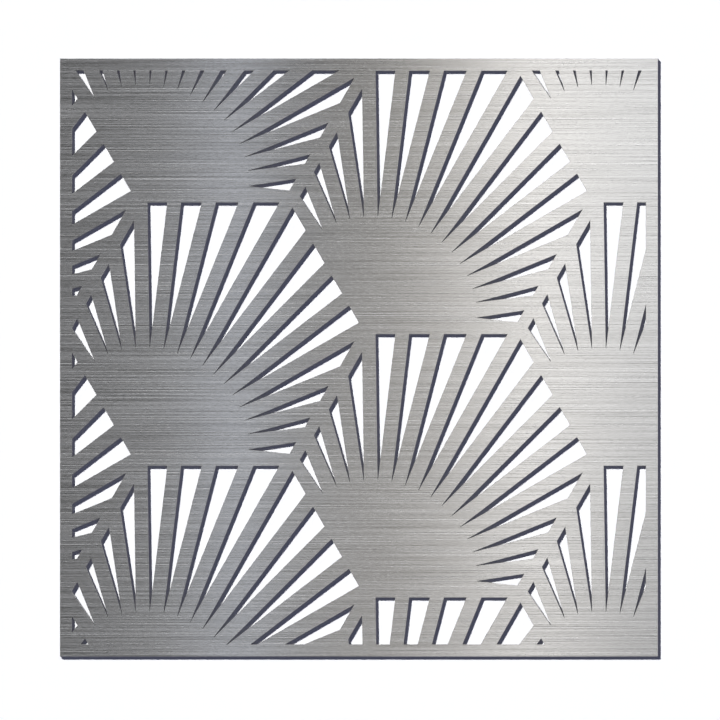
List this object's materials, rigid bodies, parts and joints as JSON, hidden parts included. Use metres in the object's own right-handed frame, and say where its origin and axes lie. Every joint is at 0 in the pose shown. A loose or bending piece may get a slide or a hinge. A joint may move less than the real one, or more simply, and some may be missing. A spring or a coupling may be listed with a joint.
{
  "type": "decorative metal sheet",
  "caption": "Square laser-cut decorative sheet of brushed stainless steel, with fans of sun rays cut through it in a honeycomb layout.",
  "frame": {"origin": "centre of the sheet, on its back face, which lies on the floor", "axes": "+X to the right of the pattern, +Y to its top, +Z out of the brushed face"},
  "size_m": [0.6, 0.6, 0.003],
  "materials": {
    "steel": "brushed along X"
  },
  "bodies": {
    "root": {"sheet": "steel"}
  },
  "joints": []
}
